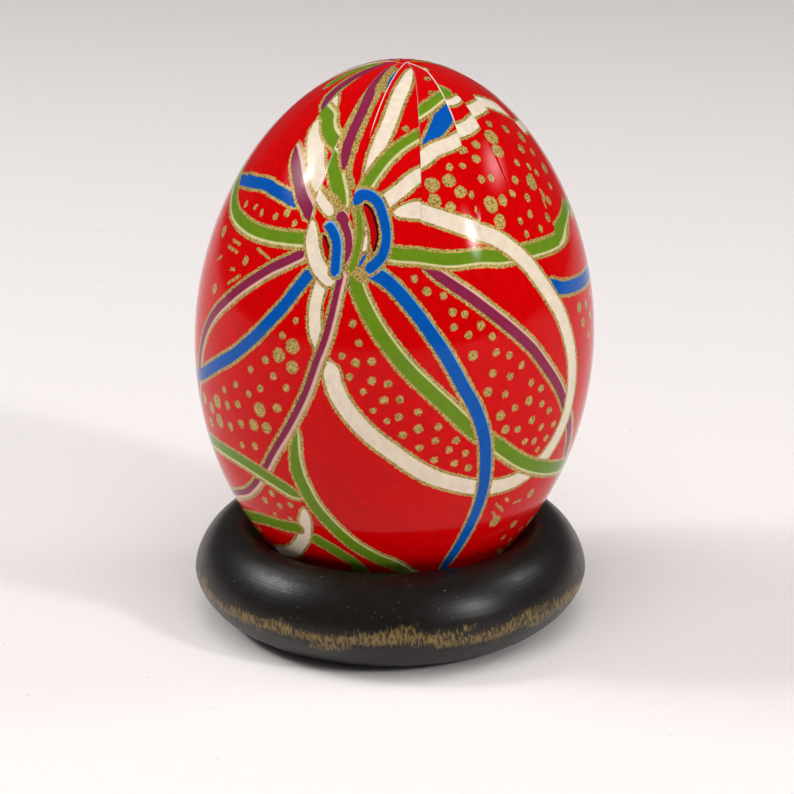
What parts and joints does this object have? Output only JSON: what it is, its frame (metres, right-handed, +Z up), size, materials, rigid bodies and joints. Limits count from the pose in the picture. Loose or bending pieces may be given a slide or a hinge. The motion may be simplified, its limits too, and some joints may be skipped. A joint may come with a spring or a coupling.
{
  "type": "decorated egg on a ring stand",
  "caption": "Blown hen's egg covered in slit, printed paper under glossy clear lacquer, resting loose and slightly tilted in a turned, black wooden ring.",
  "frame": {"origin": "on the surface that the ring stands on, at the ring's axis, within 0.3 mm of the middle of the bounding box", "axes": "+Z up along the ring's axis; -Y is the side with the knot of the printed ribbons; the egg leans 2.4 degrees towards +X and 1.7 degrees towards -Y"},
  "size_m": [0.0447, 0.0445, 0.0634],
  "materials": {
    "ebonised_wood": "turned wood stained black, satin, worn to brown on its widest line",
    "printed_paper": "red patterned craft paper printed with coloured ribbons outlined in gold, under lacquer",
    "clear_lacquer": "thick glossy clear film",
    "eggshell": "matt chalky hen's eggshell",
    "membrane": "dried translucent skin",
    "filler": "matt filler putty"
  },
  "bodies": {
    "stand": {"stand_ring": "ebonised_wood"},
    "egg": {"lacquer_film": "clear_lacquer", "paper_wrap": "printed_paper", "base_disc": "printed_paper", "eggshell": "eggshell", "shell_membrane": "membrane", "hole_filler_top": "filler", "hole_filler_base": "filler"}
  },
  "joints": [
    {"name": "egg_lift", "type": "slide", "parent": "stand", "child": "egg", "axis": [0, 0, 1], "range_m": [0, 0.04]}
  ]
}
